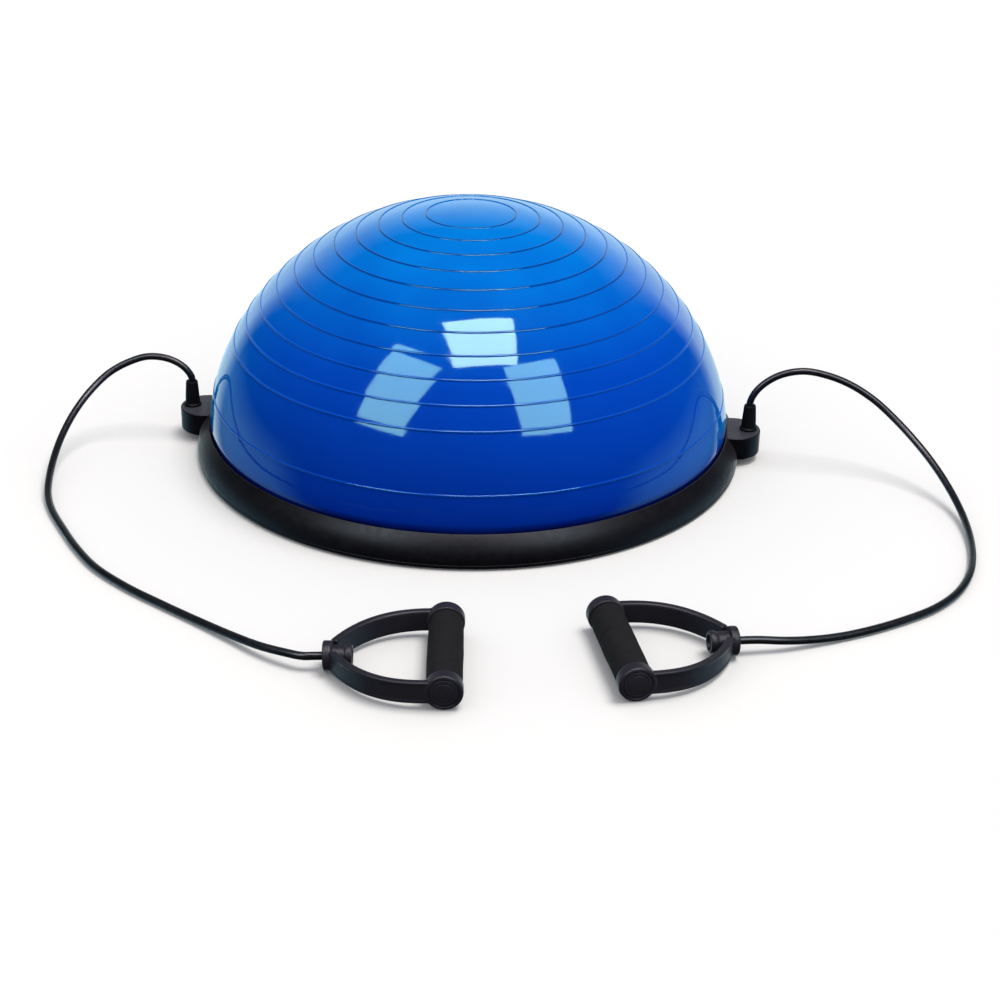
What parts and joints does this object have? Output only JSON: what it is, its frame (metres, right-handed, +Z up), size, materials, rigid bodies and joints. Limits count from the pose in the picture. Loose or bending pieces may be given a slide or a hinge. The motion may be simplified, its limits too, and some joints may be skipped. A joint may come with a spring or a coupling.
{
  "type": "balance dome trainer",
  "caption": "Inflated half-ball balance dome clamped into a round flat base, with an elastic cord and a foam-grip D-handle on each side.",
  "frame": {"origin": "centre of the flat underside, on the floor plane", "axes": "+Z up through the dome's crown; +X towards the right-hand lug; -Y towards the side where the two handles lie"},
  "size_m": [0.9433, 0.8293, 0.2635],
  "materials": {
    "dome_skin": "glossy blue PVC",
    "base_plastic": "satin black moulded plastic with a fine grain",
    "handle_plastic": "semi-gloss black moulded plastic",
    "grip_foam": "matt black closed-cell foam",
    "cord_rubber": "satin black latex tube",
    "black_rubber": "matt black rubber",
    "screw_steel": "zinc-plated steel"
  },
  "bodies": {
    "base": {"base_platform": "base_plastic", "rim_ring": "base_plastic", "dome_bladder": "dome_skin", "valve_seat": "black_rubber", "foot_centre": "black_rubber", "foot_01": "black_rubber", "foot_02": "black_rubber", "foot_03": "black_rubber", "foot_04": "black_rubber", "foot_05": "black_rubber", "foot_06": "black_rubber", "foot_07": "black_rubber", "foot_08": "black_rubber", "rim_screw_01": "screw_steel", "rim_screw_02": "screw_steel", "rim_screw_03": "screw_steel", "rim_screw_04": "screw_steel", "rim_screw_05": "screw_steel", "rim_screw_06": "screw_steel", "rim_screw_07": "screw_steel", "rim_screw_08": "screw_steel", "rim_screw_09": "screw_steel", "rim_screw_10": "screw_steel", "rim_screw_11": "screw_steel", "rim_screw_12": "screw_steel"},
    "valve": {"valve_plug": "black_rubber"},
    "left_band": {"left_cord": "cord_rubber", "left_anchor_sleeve": "black_rubber", "left_cord_stop": "black_rubber", "left_hub_stop": "black_rubber"},
    "left_handle": {"left_yoke": "handle_plastic"},
    "left_grip": {"left_grip_core": "handle_plastic", "left_grip_foam": "grip_foam", "left_end_cap_a": "handle_plastic", "left_end_cap_b": "handle_plastic"},
    "right_band": {"right_cord": "cord_rubber", "right_anchor_sleeve": "black_rubber", "right_cord_stop": "black_rubber", "right_hub_stop": "black_rubber"},
    "right_handle": {"right_yoke": "handle_plastic"},
    "right_grip": {"right_grip_core": "handle_plastic", "right_grip_foam": "grip_foam", "right_end_cap_a": "handle_plastic", "right_end_cap_b": "handle_plastic"}
  },
  "joints": [
    {"name": "valve_pull", "type": "slide", "parent": "base", "child": "valve", "axis": [0, 0, -1], "range_m": [0, 0.02]},
    {"name": "left_anchor_swivel", "type": "hinge", "parent": "base", "child": "left_band", "pos_m": [-0.3, 0, 0.04], "axis": [0, 0, 1], "range_deg": [-45, 8]},
    {"name": "left_handle_swivel", "type": "hinge", "parent": "left_band", "child": "left_handle", "pos_m": [-0.0882, -0.4806, 0.0138], "axis": [0.9969, 0.0732, 0.0299], "continuous": true},
    {"name": "left_grip_spin", "type": "hinge", "parent": "left_handle", "child": "left_grip", "pos_m": [0.01846, -0.47277, 0.017], "axis": [-0.0732, 0.9973, 0], "continuous": true},
    {"name": "right_anchor_swivel", "type": "hinge", "parent": "base", "child": "right_band", "pos_m": [0.3, 0, 0.04], "axis": [0, 0, 1], "range_deg": [-8, 45]},
    {"name": "right_handle_swivel", "type": "hinge", "parent": "right_band", "child": "right_handle", "pos_m": [0.2745, -0.4186, 0.0138], "axis": [-0.9681, -0.2486, 0.0299], "continuous": true},
    {"name": "right_grip_spin", "type": "hinge", "parent": "right_handle", "child": "right_grip", "pos_m": [0.17091, -0.4452, 0.017], "axis": [0.2487, -0.9686, 0], "continuous": true}
  ]
}
